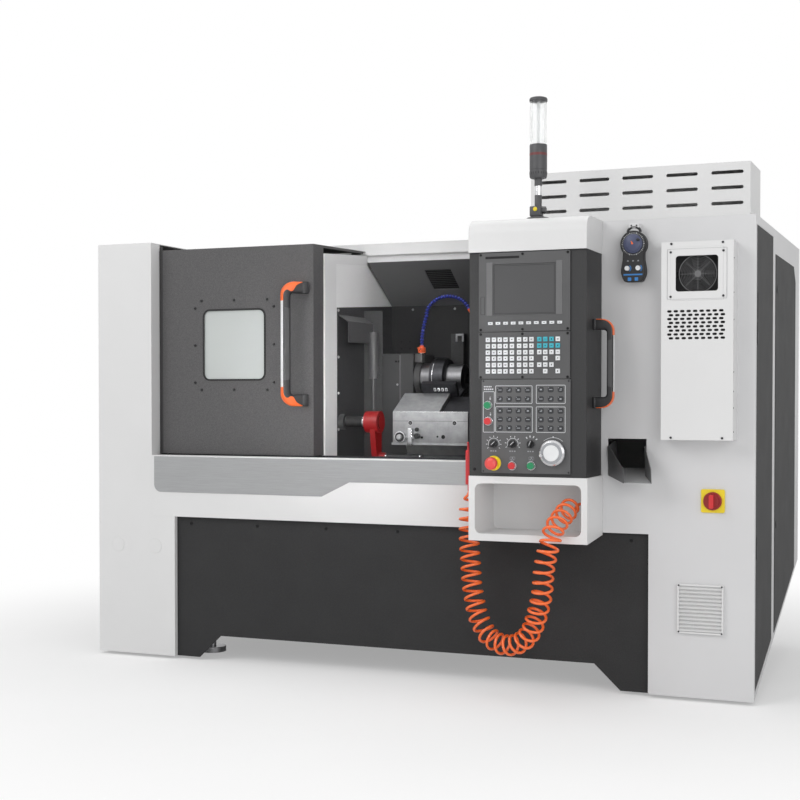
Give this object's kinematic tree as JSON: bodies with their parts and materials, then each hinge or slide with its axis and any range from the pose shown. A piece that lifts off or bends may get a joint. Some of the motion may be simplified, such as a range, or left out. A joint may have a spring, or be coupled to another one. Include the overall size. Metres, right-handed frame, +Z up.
{
  "type": "turning lathe",
  "caption": "Slant-bed turning lathe in sheet covers with a sliding door, collet spindle, tool slide, swinging operator panel, signal lamp, parts chute and coiled air line.",
  "frame": {"origin": "middle of the machine's outline on the floor, hanging air line left out", "axes": "+X to the right along the spindle, +Y from the operator to the back, +Z up"},
  "size_m": [2.622, 1.542, 2.091],
  "materials": {
    "white_paint": "satin",
    "dark_paint": "textured",
    "black_paint": "satin",
    "stainless": "brushed",
    "machined_steel": "ground",
    "casting": "painted",
    "glass": "clear",
    "plastic_black": "fine texture",
    "plastic_grey": "fine texture",
    "red_paint": "gloss",
    "red_plastic": "gloss",
    "green_plastic": "gloss",
    "yellow_plastic": "gloss",
    "blue_plastic": "satin",
    "orange_hose": "gloss",
    "chrome_metal": "polished"
  },
  "bodies": {
    "machine": {"bed_casting": "casting", "levelling_feet": "machined_steel", "headstock": "casting", "electrics_plate": "plastic_grey", "left_front_cover": "white_paint", "left_side_cover": "white_paint", "front_beam": "white_paint", "sill_plate": "stainless", "lower_panel": "black_paint", "right_wall": "white_paint", "side_frame": "white_paint", "side_rear_cover": "dark_paint", "roof_cover": "white_paint", "rear_cover": "white_paint", "vent_box": "white_paint", "door_rails": "machined_steel", "jamb_cover": "white_paint", "inner_side_wall": "white_paint", "ceiling_panel": "dark_paint", "splash_guard": "dark_paint", "spindle_hood": "dark_paint", "coolant_hose": "blue_plastic", "part_chute": "black_paint", "heat_exchanger": "white_paint", "switch_plate": "yellow_plastic", "vent_grille": "white_paint", "pendant_body": "plastic_black"},
    "door": {"door_panel": "dark_paint", "door_window": "glass", "door_handle": "plastic_black"},
    "spindle": {"spindle": "machined_steel", "collet_chuck": "machined_steel"},
    "carriage": {"saddle": "casting"},
    "tool_slide": {"cross_slide": "machined_steel", "tool_holder": "black_paint"},
    "catcher": {"catcher_arm": "red_paint"},
    "panel": {"panel_box": "black_paint", "panel_cap": "white_paint", "panel_tray": "white_paint", "control_unit": "plastic_grey", "control_plate": "plastic_grey", "panel_handle": "plastic_black", "signal_lamp": "plastic_black", "air_hose": "orange_hose", "air_gun": "red_plastic"},
    "cabinet_door": {"cabinet_door": "dark_paint"},
    "main_switch": {"main_switch_knob": "red_plastic"},
    "fan": {"exchanger_fan": "plastic_black"},
    "pendant_wheel": {"pendant_wheel": "blue_plastic"},
    "pendant_axis_knob": {"pendant_axis_knob": "plastic_black"},
    "pendant_step_knob": {"pendant_step_knob": "plastic_black"},
    "estop_button": {"estop_button": "red_plastic"},
    "start_button": {"start_button": "green_plastic"},
    "stop_button": {"stop_button": "red_plastic"},
    "power_off_button": {"power_off_button": "red_plastic"},
    "power_on_button": {"power_on_button": "green_plastic"},
    "left_selector": {"left_selector": "plastic_black"},
    "middle_selector": {"middle_selector": "plastic_black"},
    "right_selector": {"right_selector": "plastic_black"},
    "handwheel": {"handwheel": "chrome_metal"}
  },
  "joints": [
    {"name": "door_slide", "type": "slide", "parent": "machine", "child": "door", "axis": [1, 0, 0], "range_m": [0, 0.65]},
    {"name": "spindle_spin", "type": "hinge", "parent": "machine", "child": "spindle", "pos_m": [-0.143, 0.1085, 1.122], "axis": [1, 0, 0], "continuous": true},
    {"name": "carriage_slide", "type": "slide", "parent": "machine", "child": "carriage", "axis": [1, 0, 0], "range_m": [0, 0.27]},
    {"name": "cross_travel", "type": "slide", "parent": "carriage", "child": "tool_slide", "axis": [0, 0.866, 0.5], "range_m": [0, 0.07]},
    {"name": "catcher_swing", "type": "hinge", "parent": "machine", "child": "catcher", "pos_m": [-0.248, -0.1955, 0.947], "axis": [1, 0, 0], "range_deg": [0, 28]},
    {"name": "panel_swing", "type": "hinge", "parent": "machine", "child": "panel", "pos_m": [0.353, -0.4995, 1.112], "axis": [0, 0, -1], "range_deg": [0, 28]},
    {"name": "cabinet_swing", "type": "hinge", "parent": "machine", "child": "cabinet_door", "pos_m": [1.3, -0.0715, 0.812], "axis": [0, 0, 1], "range_deg": [0, 95]},
    {"name": "switch_turn", "type": "hinge", "parent": "machine", "child": "main_switch", "pos_m": [1.169, -0.5075, 0.692], "axis": [0, 1, 0], "range_deg": [0, 90]},
    {"name": "fan_spin", "type": "hinge", "parent": "machine", "child": "fan", "pos_m": [1.126, -0.5315, 1.462], "axis": [0, 1, 0], "continuous": true},
    {"name": "pendant_wheel_turn", "type": "hinge", "parent": "machine", "child": "pendant_wheel", "pos_m": [0.901, -0.5415, 1.573], "axis": [0, 1, 0], "continuous": true},
    {"name": "pendant_axis_turn", "type": "hinge", "parent": "machine", "child": "pendant_axis_knob", "pos_m": [0.882, -0.5415, 1.489], "axis": [0, 1, 0], "range_deg": [-60, 60]},
    {"name": "pendant_step_turn", "type": "hinge", "parent": "machine", "child": "pendant_step_knob", "pos_m": [0.92, -0.5415, 1.489], "axis": [0, 1, 0], "range_deg": [-60, 60]},
    {"name": "estop_push", "type": "slide", "parent": "panel", "child": "estop_button", "axis": [0, 1, 0], "range_m": [0, 0.004], "stiffness_N_per_m": 1500},
    {"name": "start_push", "type": "slide", "parent": "panel", "child": "start_button", "axis": [0, 1, 0], "range_m": [0, 0.004], "stiffness_N_per_m": 800},
    {"name": "stop_push", "type": "slide", "parent": "panel", "child": "stop_button", "axis": [0, 1, 0], "range_m": [0, 0.004], "stiffness_N_per_m": 800},
    {"name": "power_off_push", "type": "slide", "parent": "panel", "child": "power_off_button", "axis": [0, 1, 0], "range_m": [0, 0.004], "stiffness_N_per_m": 800},
    {"name": "power_on_push", "type": "slide", "parent": "panel", "child": "power_on_button", "axis": [0, 1, 0], "range_m": [0, 0.004], "stiffness_N_per_m": 800},
    {"name": "left_selector_turn", "type": "hinge", "parent": "panel", "child": "left_selector", "pos_m": [0.452, -0.7035, 0.885], "axis": [0, 1, 0], "range_deg": [-60, 60]},
    {"name": "middle_selector_turn", "type": "hinge", "parent": "panel", "child": "middle_selector", "pos_m": [0.521, -0.7035, 0.885], "axis": [0, 1, 0], "range_deg": [-60, 60]},
    {"name": "right_selector_turn", "type": "hinge", "parent": "panel", "child": "right_selector", "pos_m": [0.586, -0.7035, 0.885], "axis": [0, 1, 0], "range_deg": [-60, 60]},
    {"name": "handwheel_turn", "type": "hinge", "parent": "panel", "child": "handwheel", "pos_m": [0.665, -0.7035, 0.856], "axis": [0, 1, 0], "continuous": true}
  ]
}
